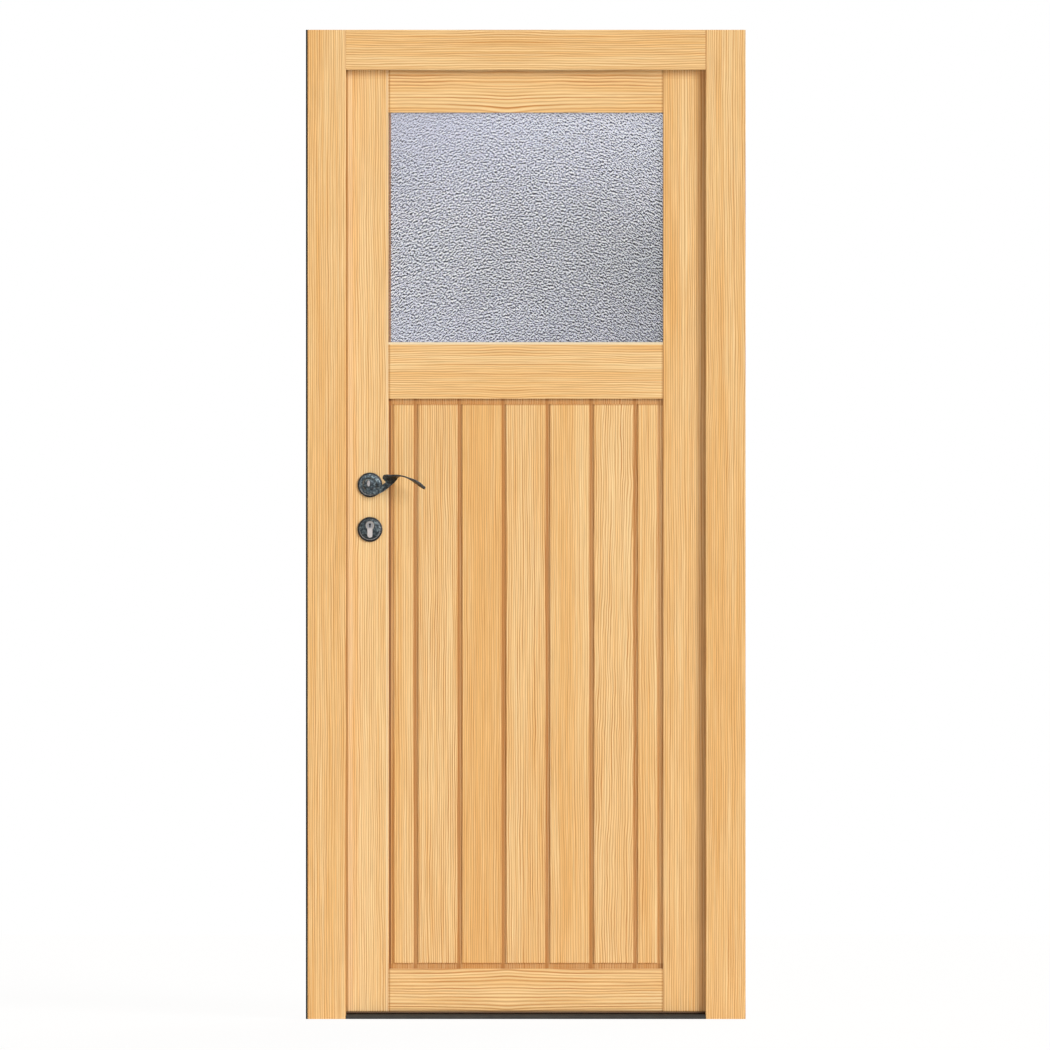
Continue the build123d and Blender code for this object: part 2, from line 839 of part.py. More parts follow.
# Barrel hinges indoors: the frame half carries the pin, the leaf half turns on it
for number, height in enumerate(hinge_heights, start=1):
    with BuildPart() as frame_half_hinge:
        rod((hinge_x, hinge_y, height - barrel_half), (0, 0, 1), barrel_radius, barrel_half - barrel_gap)
        fillet(frame_half_hinge.edges().group_by(Axis.Z)[0], barrel_rounding)
        rod((hinge_x, hinge_y, height - barrel_half / 2), (0, 0, 1), pin_radius, barrel_half / 2 + pin_height)
        for offset in stud_offsets:
            rod(
                (hinge_x, hinge_y, height - offset),
                outward,
                frame_stud_radius,
                hinge_y - frame_in + stud_length,
            )
    save(frame_half_hinge.part, f"hinge_frame_half_{number}")
    with BuildPart() as leaf_half_hinge:
        rod((hinge_x, hinge_y, height + barrel_gap), (0, 0, 1), barrel_radius, barrel_half - barrel_gap)
        fillet(leaf_half_hinge.edges().group_by(Axis.Z)[-1], barrel_rounding)
        for offset in stud_offsets:
            rod(
                (hinge_x, hinge_y, height + offset),
                (-1, 0, 0),
                leaf_stud_radius,
                hinge_x - lap_half + stud_length,
            )
        rod(
            (hinge_x, hinge_y, height),
            (0, 0, 1),
            pin_radius + pin_clearance,
            pin_height + pin_end_gap,
            Mode.SUBTRACT,
        )
    save(leaf_half_hinge.part, f"hinge_leaf_half_{number}")
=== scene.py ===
import math
from collections import namedtuple

import bmesh
import bpy
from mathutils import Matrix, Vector, noise


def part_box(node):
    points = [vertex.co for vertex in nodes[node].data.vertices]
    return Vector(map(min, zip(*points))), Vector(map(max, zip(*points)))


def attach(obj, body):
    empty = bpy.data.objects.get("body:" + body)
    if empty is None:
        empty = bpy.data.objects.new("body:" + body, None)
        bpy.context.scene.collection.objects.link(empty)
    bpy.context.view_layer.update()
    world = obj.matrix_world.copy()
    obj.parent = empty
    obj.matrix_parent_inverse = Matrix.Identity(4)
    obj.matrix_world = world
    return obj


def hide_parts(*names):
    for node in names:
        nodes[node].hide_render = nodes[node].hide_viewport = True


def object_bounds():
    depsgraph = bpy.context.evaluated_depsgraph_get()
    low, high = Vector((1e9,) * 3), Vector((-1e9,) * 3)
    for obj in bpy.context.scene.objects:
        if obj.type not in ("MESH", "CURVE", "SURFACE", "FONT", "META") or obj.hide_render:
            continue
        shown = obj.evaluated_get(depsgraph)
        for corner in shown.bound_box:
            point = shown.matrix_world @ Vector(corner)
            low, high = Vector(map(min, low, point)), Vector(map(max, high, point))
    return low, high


# Glazed pine side-entrance door. Metres, in the frame of the CAD model:
# X to the right seen from outside, +Y indoors, Z up.

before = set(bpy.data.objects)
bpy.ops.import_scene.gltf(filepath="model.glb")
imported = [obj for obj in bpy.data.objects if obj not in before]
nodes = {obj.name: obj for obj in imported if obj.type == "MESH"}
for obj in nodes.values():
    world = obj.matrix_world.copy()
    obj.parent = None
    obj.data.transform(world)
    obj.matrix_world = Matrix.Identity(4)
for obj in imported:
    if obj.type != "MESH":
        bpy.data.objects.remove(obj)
cad_box = [list(corner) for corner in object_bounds()]
scene = bpy.context.scene


# Node trees
class Tree:
    """Short calls that build one material's nodes."""

    def __init__(self, name):
        self.material = bpy.data.materials.new(name)
        self.material.use_nodes = True
        self.nodes = self.material.node_tree.nodes
        self.links = self.material.node_tree.links
        self.shader = self.nodes["Principled BSDF"]
        self.output = self.nodes["Material Output"]

    def put(self, socket, value):
        """Links a socket to another one's output, or sets its value."""
        if isinstance(value, bpy.types.NodeSocket):
            self.links.new(value, socket)
        else:
            socket.default_value = value

    def add(self, kind, out=0, **inputs):
        """A node of a kind with inputs set by name, and one of its outputs."""
        node = self.nodes.new(kind)
        for key, value in inputs.items():
            self.put(node.inputs[key.replace("_", " ")], value)
        return node.outputs[out]

    def set(self, **inputs):
        """Inputs of the Principled shader, by name."""
        for key, value in inputs.items():
            self.put(self.shader.inputs[key.replace("_", " ")], value)

    def math(self, operation, first, second=0.0, third=0.0):
        """One operation on up to three values."""
        node = self.nodes.new("ShaderNodeMath")
        node.operation = operation
        for socket, value in zip(node.inputs, (first, second, third)):
            self.put(socket, value)
        return node.outputs[0]

    def total(self, *values):
        """The sum of values."""
        result = values[0]
        for value in values[1:]:
            result = self.math("ADD", result, value)
        return result

    def product(self, *values):
        """The product of values."""
        result = values[0]
        for value in values[1:]:
            result = self.math("MULTIPLY", result, value)
        return result

    def split(self, vector):
        """The three parts of a vector."""
        node = self.nodes.new("ShaderNodeSeparateXYZ")
        self.links.new(vector, node.inputs[0])
        return node.outputs

    def join(self, x, y, z):
        """A vector of three values."""
        node = self.nodes.new("ShaderNodeCombineXYZ")
        for socket, value in zip(node.inputs, (x, y, z)):
            self.put(socket, value)
        return node.outputs[0]

    def scaled(self, x, y, z, factors):
        """A vector of three values, each times its own factor."""
        return self.join(*(self.product(*pair) for pair in zip((x, y, z), factors)))

    def position(self):
        """The point of the surface in the CAD frame, which moves with the piece's body."""
        return self.add("ShaderNodeTexCoord", "Object")

    def noise(self, vector, scale=1.0, detail=2.0, roughness=0.5):
        """Smooth noise at a place, about 0 to 1."""
        settings = {"Scale": scale, "Detail": detail, "Roughness": roughness}
        return self.add("ShaderNodeTexNoise", Vector=vector, **settings)

    def ramp(self, value, *stops):
        """A smooth grey or coloured ramp through stops of place and colour."""
        node = self.nodes.new("ShaderNodeValToRGB")
        elements = node.color_ramp.elements
        while len(elements) < len(stops):
            elements.new(0.5)
        for element, (place, colour) in zip(elements, stops):
            element.position = place
            shade = (colour, colour, colour) if isinstance(colour, float) else colour
            element.color = (*shade, 1.0)
        self.links.new(value, node.inputs[0])
        return node.outputs[0]

    def span(self, value, low, high, new_low, new_high):
        """A value moved from one span to another, kept within it."""
        node = self.nodes.new("ShaderNodeMapRange")
        for socket, number in zip(node.inputs, (value, low, high, new_low, new_high)):
            self.put(socket, number)
        return node.outputs[0]

    def mix(self, amount, first, second, blend="MIX"):
        """Two colours mixed."""
        node = self.nodes.new("ShaderNodeMix")
        node.data_type = "RGBA"
        node.blend_type = blend
        self.put(node.inputs[0], amount)
        for socket, colour in zip((node.inputs[6], node.inputs[7]), (first, second)):
            self.put(socket, (*colour, 1.0) if isinstance(colour, tuple) else colour)
        return node.outputs[2]

    def bump(self, height, distance, strength=1.0):
        """A normal tilted by the slope of a height."""
        return self.add("ShaderNodeBump", Height=height, Distance=distance, Strength=strength)


def dress(node, material):
    """Gives a CAD node one material."""
    mesh = nodes[node].data
    mesh.materials.clear()
    mesh.materials.append(material)


# Pine, sawn from a log: rings round a pith that lies beside or behind each piece
CREAM = (0.985, 0.735, 0.390)
HONEY = (0.880, 0.535, 0.205)
LATEWOOD = (0.540, 0.195, 0.030)
# The last three tints: dark joint lines and painted shade, deeper painted shade, and painted highlights
JOINT_AND_SHADE_BROWN = (0.430, 0.176, 0.040)
SHADE_UMBER = (0.200, 0.070, 0.015)
HIGHLIGHT_CREAM = (1.000, 0.850, 0.600)

# Where the pith lies from the piece's middle (beside it and behind its face), how far it leans along
# the grain, the ring spacing, how much the grain wanders, the rings' contrast and the tone's warmth
Cut = namedtuple("Cut", "beside behind lean ring wander contrast warmth")
QUARTER = Cut(0.320, 0.060, 0.002, 0.0045, 0.0018, 0.84, 0.50)
FIGURED = Cut(0.200, 0.070, 0.008, 0.0043, 0.0028, 1.00, 0.45)
RAIL = Cut(0.300, 0.050, 0.000, 0.0060, 0.0022, 0.95, 0.50)

# Cells in a metre of the wood's unevenness: across, through and along the grain
DRIFT = (4.0, 4.0, 1.5)
RIPPLE = (24.0, 24.0, 8.0)
FIBRE = (620.0, 620.0, 12.0)
STREAK = (250.0, 250.0, 4.0)
CLOUD = (26.0, 26.0, 0.9)

# How dark the wood is across one ring, from early wood to late wood
RING_RAMP = ((0.0, 0.0), (0.40, 0.06), (0.64, 1.0), (0.80, 0.85), (1.0, 0.0))

# The rails' grain is mirrored at a fold, where it spreads by a share
FOLD_PLACE = -0.0375
FOLD_SOFTNESS = 0.0002
FOLD_REACH = 0.070

# Painted shade in the boards' channels, stronger on the left, away from the key light's own shadow
FIRST_CHANNEL = -0.220
CHANNEL_PITCH = 0.088
CHANNEL_HALF = 0.0048
CHANNEL_SHADE_DEPTHS = (0.0018, 0.0046)
CHANNEL_SHADE_PLACES = (-0.0005, 0.0035)
CHANNEL_SHADE = (0.78, 0.11)

# Strips on the outdoor side with dark joint lines, painted shade and painted highlights: the axis
# across them, where they start and end, the tint and how much of it
Strip = namedtuple("Strip", "axis start end tint amount")
STRIP_SOFTNESS = 0.0005
STRIP_BACK = 0.006
# Painted shade on the leaf just under the frame head
HEAD_SHADE_STRIPS = (
    Strip("Z", 1.8874, 1.8938, JOINT_AND_SHADE_BROWN, 0.16),
    Strip("Z", 1.8820, 1.8874, JOINT_AND_SHADE_BROWN, 0.10),
)
RAIL_STRIPS = (
    Strip("X", -0.2742, -0.2716, JOINT_AND_SHADE_BROWN, 0.62),
    Strip("X", 0.2722, 0.2760, JOINT_AND_SHADE_BROWN, 0.50),
)
# Painted shade in the panel's border channel, beside the stiles and rails
BOARD_SHADE_STRIPS = (
    Strip("X", -0.2742, -0.2698, SHADE_UMBER, 0.90),
    Strip("X", -0.2698, -0.2670, JOINT_AND_SHADE_BROWN, 0.45),
    Strip("X", 0.2640, 0.2690, JOINT_AND_SHADE_BROWN, 0.55),
    Strip("X", 0.2722, 0.2760, JOINT_AND_SHADE_BROWN, 0.30),
    Strip("Z", 1.2370, 1.2430, SHADE_UMBER, 0.40),
    Strip("Z", 1.2312, 1.2370, JOINT_AND_SHADE_BROWN, 0.50),
    Strip("Z", 1.2285, 1.2312, JOINT_AND_SHADE_BROWN, 0.50),
    Strip("Z", 0.0990, 0.1105, JOINT_AND_SHADE_BROWN, 0.50),
)
STRIPS = {
    "lock_stile": (
        *HEAD_SHADE_STRIPS,
        # Painted shade beside the left jamb, and painted highlights beside it and on the stile's inner
        # edge
        Strip("X", -0.3605, -0.3562, JOINT_AND_SHADE_BROWN, 0.66),
        Strip("X", -0.3562, -0.3470, HIGHLIGHT_CREAM, 0.25),
        Strip("X", -0.2800, -0.2745, HIGHLIGHT_CREAM, 0.30),
    ),
    "hinge_stile": (
        *HEAD_SHADE_STRIPS,
        # Painted shade on the stile's inner edge, and painted shade deepening the right jamb's shadow
        Strip("X", 0.2745, 0.2764, JOINT_AND_SHADE_BROWN, 0.35),
        Strip("X", 0.3415, 0.3465, JOINT_AND_SHADE_BROWN, 0.22),
        Strip("X", 0.3465, 0.3600, JOINT_AND_SHADE_BROWN, 0.28),
    ),
    "top_rail": (*RAIL_STRIPS, *HEAD_SHADE_STRIPS),
    # Painted highlight on the sloped sill under the glass
    "middle_rail": (*RAIL_STRIPS, Strip("Z", 1.3504, 1.3560, HIGHLIGHT_CREAM, 0.95)),
    "bottom_rail": RAIL_STRIPS,
}


def striped(tree, colour, strips):
    """A colour with strips of dark joint lines, painted shade and painted highlights on the outdoor
    side.
    """
    x, y, z = tree.split(tree.position())
    outdoors = tree.span(y, STRIP_BACK, STRIP_BACK + STRIP_SOFTNESS, 1.0, 0.0)
    for strip in strips:
        across = x if strip.axis == "X" else z
        start = (strip.start - STRIP_SOFTNESS, strip.start + STRIP_SOFTNESS)
        end = (strip.end - STRIP_SOFTNESS, strip.end + STRIP_SOFTNESS)
        within = tree.product(tree.span(across, *start, 0.0, 1.0), tree.span(across, *end, 1.0, 0.0))
        colour = tree.mix(tree.product(within, outdoors, strip.amount), colour, strip.tint)
    return colour


def channel_shaded(tree, colour, low, high):
    """A board's colour with painted shade in the channels beside it, on both faces."""
    x, y, _ = tree.split(tree.position())
    from_middle = tree.math("ABSOLUTE", tree.math("SUBTRACT", y, (low.y + high.y) / 2))
    sunk = tree.math("SUBTRACT", (high.y - low.y) / 2, from_middle)
    from_first = tree.math("SUBTRACT", x, FIRST_CHANNEL)
    offset = tree.math("WRAP", from_first, CHANNEL_PITCH / 2, -CHANNEL_PITCH / 2)
    edge = (CHANNEL_HALF, CHANNEL_HALF + STRIP_SOFTNESS)
    near = tree.span(tree.math("ABSOLUTE", offset), *edge, 1.0, 0.0)
    deep = tree.span(sunk, *CHANNEL_SHADE_DEPTHS, 0.0, 1.0)
    amount = tree.product(tree.span(offset, *CHANNEL_SHADE_PLACES, *CHANNEL_SHADE), near, deep)
    return tree.mix(amount, colour, JOINT_AND_SHADE_BROWN)


def pine(node, grain, cut, spread=None):
    """Varnished pine for one piece, its grain along X or Z, and mirrored at the fold with a spread."""
    tree = Tree(f"pine_{node}")
    low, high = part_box(node)
    middle = (low + high) / 2
    x, y, z = tree.split(tree.position())
    if grain == "Z":
        side, along = tree.math("SUBTRACT", x, middle.x), z
    else:
        side, along = tree.math("SUBTRACT", z, middle.z), x
    depth = tree.math("SUBTRACT", y, low.y)
    if spread is not None:
        from_fold = tree.math("POWER", tree.math("SUBTRACT", x, FOLD_PLACE), 2.0)
        along = tree.math("SQRT", tree.total(from_fold, FOLD_SOFTNESS))
        fading = tree.math("EXPONENT", tree.product(along, -1.0 / FOLD_REACH))
        side = tree.product(side, tree.math("SUBTRACT", 1.0, tree.product(fading, spread)))
    seed = sum(ord(letter) * (i + 3) for i, letter in enumerate(node)) % 89 * 1.37
    place = (side, depth, tree.math("ADD", along, seed))

    drift = tree.noise(tree.scaled(*place, DRIFT), detail=1.0)
    ripple = tree.noise(tree.scaled(*place, RIPPLE), detail=2.0)
    wander = tree.total(
        tree.product(tree.math("SUBTRACT", drift, 0.5), 8.0 * cut.wander),
        tree.product(tree.math("SUBTRACT", ripple, 0.5), 3.2 * cut.wander),
    )
    leaning = tree.product(along, cut.lean)
    beside = tree.math("POWER", tree.total(side, -cut.beside, wander, leaning), 2.0)
    behind = tree.math("POWER", tree.total(depth, -cut.behind, tree.product(wander, 0.8), leaning), 2.0)
    radius = tree.math("SQRT", tree.total(beside, behind))
    uneven = tree.noise(tree.join(tree.product(radius, 60.0), seed, 0.0), detail=1.0)
    ring = tree.total(tree.math("DIVIDE", radius, cut.ring), tree.product(uneven, 1.2), seed)
    late = tree.ramp(tree.math("FRACT", ring), *RING_RAMP)
    vigour = tree.noise(tree.scaled(ring, 0.0, place[2], (0.77, 1.0, 3.2)), detail=2.0)
    band = tree.product(late, tree.span(vigour, 0.30, 0.66, 0.25, 1.0), cut.contrast)

    fibre = tree.noise(tree.scaled(*place, FIBRE), detail=3.0, roughness=0.6)
    stripe = tree.noise(tree.scaled(*place, STREAK), detail=2.0)
    broad = tree.noise(tree.scaled(*place, CLOUD), detail=2.0)

    tone = tree.span(broad, 0.32, 0.68, cut.warmth - 0.32, cut.warmth + 0.32)
    streaked = tree.total(tone, tree.product(tree.math("SUBTRACT", stripe, 0.5), 1.9))
    ground = tree.mix(tree.span(streaked, 0.0, 1.0, 0.0, 1.0), CREAM, HONEY)
    ringed = tree.mix(band, ground, LATEWOOD)
    fine = tree.span(fibre, 0.32, 0.68, 0.88, 1.10)
    colour = tree.mix(1.0, ringed, tree.join(fine, fine, fine), "MULTIPLY")
    if "board" in node:
        colour = channel_shaded(tree, colour, low, high)
        colour = striped(tree, colour, BOARD_SHADE_STRIPS)
    colour = striped(tree, colour, STRIPS.get(node, ()))

    height = tree.total(tree.product(band, 0.6), tree.product(fibre, 0.5))
    tree.set(
        Base_Color=colour,
        Roughness=tree.span(tree.total(fibre, band), 0.3, 1.4, 0.42, 0.58),
        Normal=tree.bump(height, 0.00025, 0.45),
    )
    tree.shader.inputs["Specular IOR Level"].default_value = 0.30
    tree.shader.inputs["Coat Weight"].default_value = 0.06
    tree.shader.inputs["Coat Roughness"].default_value = 0.30
    dress(node, tree.material)


UPRIGHTS = {
    "left_jamb": QUARTER._replace(beside=-0.300, warmth=0.60),
    "right_jamb": QUARTER._replace(beside=0.340, warmth=0.58),
    "lock_stile": QUARTER._replace(beside=0.280, ring=0.0043, warmth=0.36),
    "hinge_stile": QUARTER._replace(beside=-0.360, ring=0.0046, warmth=0.52),
    "panel_board_1": QUARTER._replace(beside=-0.240, ring=0.0046, warmth=0.58),
    "panel_board_2": QUARTER._replace(beside=0.260, contrast=1.1, warmth=0.42),
    "panel_board_3": QUARTER._replace(beside=-0.300, contrast=0.84, warmth=0.92),
    "panel_board_4": FIGURED._replace(beside=-0.200),
    "panel_board_5": QUARTER._replace(beside=0.210, contrast=0.76, warmth=0.58),
    "panel_board_6": FIGURED._replace(lean=-0.008, warmth=0.40),
    "panel_board_7": QUARTER._replace(beside=0.150, ring=0.0046, warmth=0.44),
}
LEVELS = {
    "frame_head": (QUARTER._replace(beside=0.200, wander=0.0022, warmth=0.48), 0.0),
    "top_rail": (RAIL._replace(warmth=0.42), 0.22),
    "middle_rail": (QUARTER._replace(beside=0.200, wander=0.0024, warmth=0.40), 0.06),
    "bottom_rail": (RAIL._replace(beside=-0.280, warmth=0.18), 0.20),
}
for node, cut in UPRIGHTS.items():
    pine(node, "Z", cut)
for node, (cut, spread) in LEVELS.items():
    pine(node, "X", cut, spread)
for opening in ("glazing_bead", "panel_bead"):
    for position in ("top", "bottom", "left", "right"):
        pine(f"{opening}_{position}", "Z" if position in ("left", "right") else "X", QUARTER)


# Rubber and aluminium
def rubber():
    """Black sealing rubber, matt, with a fine extruded grain."""
    tree = Tree("black_rubber")
    grain = tree.noise(tree.position(), scale=900.0, detail=3.0)
    tree.set(
        Base_Color=tree.ramp(grain, (0.3, (0.004, 0.0035, 0.003)), (0.75, (0.010, 0.009, 0.008))),
        Roughness=tree.span(grain, 0.3, 0.7, 0.62, 0.80),
        Normal=tree.bump(grain, 0.0001, 0.2),
    )
    tree.shader.inputs["Specular IOR Level"].default_value = 0.12
    return tree.material


def brushed(name, dark, light, roughness, stretch, metallic=1.0):
    """Metal with fine drawn lines along the axis that is stretched least."""
    tree = Tree(name)
    x, y, z = tree.split(tree.position())
    lines = tree.noise(tree.scaled(x, y, z, stretch), detail=4.0, roughness=0.65)
    blotch = tree.noise(tree.position(), scale=35.0, detail=3.0)
    tone = tree.math("ADD", tree.product(lines, 0.7), tree.product(blotch, 0.3))
    tree.set(
        Base_Color=tree.ramp(tone, (0.32, dark), (0.68, light)),
        Roughness=tree.span(tone, 0.3, 0.7, roughness + 0.10, roughness - 0.06),
        Normal=tree.bump(lines, 0.0001, 0.3),
    )
    tree.shader.inputs["Metallic"].default_value = metallic
    return tree.material


PLUG_EDGE = (0.0054, 0.0060)  # from the cylinder's middle line
PLUG_DEPTHS = (0.0003, 0.0005)
KEYWAY_SHADE_DEPTHS = (0.0008, 0.0012)
CYLINDER_NECK = (0.016, 0.021)  # above its foot, where the round head starts


def satin_nickel(node):
    """Satin nickel, greyer on the round head and the plug, with painted shade in the keyway."""
    tree = Tree("satin_nickel")
    low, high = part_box(node)
    x, y, z = tree.split(tree.position())
    lines = tree.noise(tree.scaled(x, y, z, (900.0, 90.0, 160.0)), detail=4.0, roughness=0.65)
    bright = tree.ramp(lines, (0.32, (0.36, 0.33, 0.32)), (0.68, (0.56, 0.52, 0.51)))
    head = tree.span(z, *(low.z + height for height in CYLINDER_NECK), 0.0, 0.65)
    metal = tree.mix(head, bright, (0.19, 0.18, 0.165))
    sunk = tree.math("MINIMUM", tree.math("SUBTRACT", y, low.y), tree.math("SUBTRACT", high.y, y))
    from_middle = tree.math("ABSOLUTE", tree.math("SUBTRACT", x, (low.x + high.x) / 2))
    near = tree.span(from_middle, *PLUG_EDGE, 1.0, 0.0)
    plug = tree.product(tree.span(sunk, *PLUG_DEPTHS, 0.0, 0.45), near)
    # Painted shade in the keyway, with less metal there
    keyway = tree.product(tree.span(sunk, *KEYWAY_SHADE_DEPTHS, 0.0, 1.0), near)
    grey = tree.mix(plug, metal, (0.17, 0.19, 0.24))
    tree.set(
        Base_Color=tree.mix(keyway, grey, (0.012, 0.012, 0.014)),
        Roughness=tree.span(lines, 0.3, 0.7, 0.42, 0.30),
        Normal=tree.bump(lines, 0.0001, 0.3),
        Metallic=tree.span(sunk, *KEYWAY_SHADE_DEPTHS, 1.0, 0.2),
    )
    return tree.material


black_rubber = rubber()
for node in ("frame_seals", "jamb_edge_strip", "glazing_seal"):
    dress(node, black_rubber)
dark_aluminium = brushed(
    "dark_aluminium", (0.026, 0.024, 0.022), (0.058, 0.055, 0.051), 0.48, (7, 600, 600), metallic=0.5
)
dress("threshold", dark_aluminium)
spacer_aluminium = brushed(
    "spacer_aluminium", (0.52, 0.53, 0.54), (0.68, 0.69, 0.70), 0.34, (20, 500, 500)
)
dress("glazing_spacer", spacer_aluminium)
steel = brushed("zinc_steel", (0.42, 0.42, 0.41), (0.62, 0.62, 0.61), 0.34, (300, 300, 40))
for node in ("strike_plate", "mortise_lock", "handle_spindle"):
    dress(node, steel)
for number in (1, 2, 3):
    dress(f"hinge_frame_half_{number}", steel)
    dress(f"hinge_leaf_half_{number}", steel)
dress("lock_cylinder", satin_nickel("lock_cylinder"))


# Sweep seal under the leaf: a brown lip in the gap above the threshold, as depths and heights
SEAL_PROFILE = (
    (-0.0105, 0.0145),
    (-0.0100, 0.0118),
    (-0.0085, 0.0108),
    (-0.0065, 0.0108),
    (-0.0050, 0.0118),
    (-0.0045, 0.0145),
)
SEAL_INSET = 0.003  # from the leaf's edge


def foot_seal():
    """The lip along the leaf's foot, in brown rubber."""
    reach = -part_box("mortise_lock")[0].x - SEAL_INSET
    form = bmesh.new()
    ends = [[form.verts.new((x, y, z)) for y, z in SEAL_PROFILE] for x in (-reach, reach)]
    for first in range(len(SEAL_PROFILE)):
        second = (first + 1) % len(SEAL_PROFILE)
        form.faces.new((ends[0][first], ends[0][second], ends[1][second], ends[1][first]))
    form.faces.new(ends[0][::-1])
    form.faces.new(ends[1])
    bmesh.ops.recalc_face_normals(form, faces=form.faces)
    mesh = bpy.data.meshes.new("foot_seal")
    form.to_mesh(mesh)
    form.free()
    tree = Tree("brown_rubber")
    grain = tree.noise(tree.position(), scale=700.0, detail=3.0)
    tree.set(
        Base_Color=tree.ramp(grain, (0.3, (0.16, 0.085, 0.045)), (0.75, (0.26, 0.15, 0.085))),
        Roughness=tree.span(grain, 0.3, 0.7, 0.55, 0.75),
    )
    mesh.materials.append(tree.material)
    piece = bpy.data.objects.new("foot_seal", mesh)
    scene.collection.objects.link(piece)
    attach(piece, "leaf")


foot_seal()

# Forged iron: hammered, blackened, with a blue sheen, bare metal on the high spots, and painted
# highlight and shade on the roses and levers
SPINDLE = sum(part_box("handle_spindle"), Vector()) / 2
RIM = 0.0030  # width of a rose's dark rim
PEEN = (0.0034, 0.0066)  # half width and half height of the spindle's hammered end
PEEN_SHIFT = Vector((-0.0028, 0.0, 0.0030))  # how far that end is hammered over, up and left
SHEEN = ((0.016, 0.022, 0.027), (0.085, 0.120, 0.145), (0.300, 0.380, 0.410))
RIM_DARK = (0.010, 0.010, 0.012)
HOLLOW_SHADE = (0.012, 0.014, 0.016)
BLACK = (0.009, 0.010, 0.009)


def forged_iron(node, sheen):
    """Hammered iron for one piece: a rose darker at its rim with a painted highlight ring, a lever with
    a worn bright spindle end and painted shade beside it.
    """
    tree = Tree(f"forged_iron_{node}")
    low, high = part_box(node)
    place = tree.position()
    x, _, z = tree.split(place)
    dents = tree.noise(place, scale=210.0, detail=3.0, roughness=0.60)
    scale_marks = tree.noise(place, scale=620.0, detail=4.0, roughness=0.65)
    worn = tree.add("ShaderNodeNewGeometry", "Pointiness")
    scuffed = tree.span(scale_marks, 0.4, 0.6, 0.3, 1.0)
    wear_and_highlight = tree.product(tree.span(worn, 0.51, 0.58, 0.0, 0.6), scuffed)
    blue = [tuple(sheen * part for part in shade) for shade in SHEEN]
    colour = tree.ramp(dents, *zip((0.34, 0.52, 0.68), blue))
    if "rose" in node:
        centre = (low + high) / 2
        beside = tree.math("POWER", tree.math("SUBTRACT", x, centre.x), 2.0)
        above = tree.math("POWER", tree.math("SUBTRACT", z, centre.z), 2.0)
        from_centre = tree.math("SQRT", tree.total(beside, above))
        reach = tree.math("SUBTRACT", (high.x - low.x) / 2, from_centre)
        # Darker towards the rim
        rim = tree.span(reach, RIM - 0.0008, RIM + 0.0008, 0.85, 0.0)
        colour = tree.mix(rim, colour, RIM_DARK)
        # A painted highlight ring just inside the rim, strongest low on the rose
        highlight_ring = tree.product(
            tree.span(reach, RIM, RIM + 0.0006, 0.0, 1.0),
            tree.span(reach, RIM + 0.0012, RIM + 0.0020, 1.0, 0.0),
            tree.span(z, centre.z - 0.012, centre.z + 0.004, 0.75, 0.10),
        )
        patchy = tree.span(scale_marks, 0.35, 0.55, 0.3, 1.0)
        wear_and_highlight = tree.math("MAXIMUM", wear_and_highlight, tree.product(highlight_ring, patchy))
    else:
        end = SPINDLE + PEEN_SHIFT
        beside = tree.math("DIVIDE", tree.math("SUBTRACT", x, end.x), PEEN[0])
        above = tree.math("DIVIDE", tree.math("SUBTRACT", z, end.z), PEEN[1])
        squares = [tree.math("POWER", part, 2.0) for part in (beside, above)]
        from_spindle = tree.math("SQRT", tree.total(*squares))
        # Painted shade in a ring on the right of the spindle's hammered end
        peen_shade = tree.span(from_spindle, 1.1, 2.0, 0.75, 0.0)
        right = tree.span(x, end.x, end.x + 0.004, 0.0, 1.0)
        colour = tree.mix(tree.product(peen_shade, right), colour, HOLLOW_SHADE)
        outward = tree.span(x, SPINDLE.x + 0.024, SPINDLE.x + 0.046, 0.0, 0.90)
        colour = tree.mix(outward, colour, BLACK)
        wear_and_highlight = tree.math("MAXIMUM", wear_and_highlight, tree.span(from_spindle, 0.75, 1.05, 0.85, 0.0))
    tree.set(
        Base_Color=tree.mix(wear_and_highlight, colour, (0.42, 0.40, 0.41)),
        Roughness=tree.span(scale_marks, 0.3, 0.7, 0.34, 0.56),
        Normal=tree.bump(tree.total(dents, tree.product(scale_marks, 0.25)), 0.0009, 0.6),
    )
    tree.shader.inputs["Metallic"].default_value = 0.6
    return tree.material


HAMMER_VOXEL = 0.0007
HAMMER_DEPTH = 0.0005
HAMMER_SIZE = 0.0065

# Places on a lever out from the spindle's middle, and how far the last blows go there
NOTCH_DEPTH = 0.0095
NOTCH_HEIGHT = 0.0055
NOTCH_WIDTH = 0.0048
NOTCH_START = (0.020, 0.026)
NOTCH_END = (0.047, 0.027)
THICK_END = (0.070, 0.090)
THICKER = 0.0006
PEEN_FACE = (0.041, 0.044)
PEEN_REACH = 0.011


def share(value, start, end):
    """How far a value lies from a start to an end, kept within 0 and 1."""
    return max(0.0, min(1.0, (value - start) / (end - start)))


def drawn_out(vertex):
    """How the smith's last blows move a point of a lever: a notch under the flare and a thicker end."""
    across = vertex.co.x - SPINDLE.x
    above = vertex.co.z - SPINDLE.z
    notch = NOTCH_DEPTH * math.exp(-(((above - NOTCH_HEIGHT) / NOTCH_WIDTH) ** 2))
    notch *= share(across, *NOTCH_START) * share(across, *NOTCH_END)
    proud = share(abs(vertex.co.y - SPINDLE.y), *PEEN_FACE)
    peen = PEEN_SHIFT * proud * math.exp(-(across**2 + above**2) / PEEN_REACH**2)
    thicker = vertex.normal * THICKER * share(across, *THICK_END)
    return Vector((notch, 0.0, 0.0)) + peen + thicker


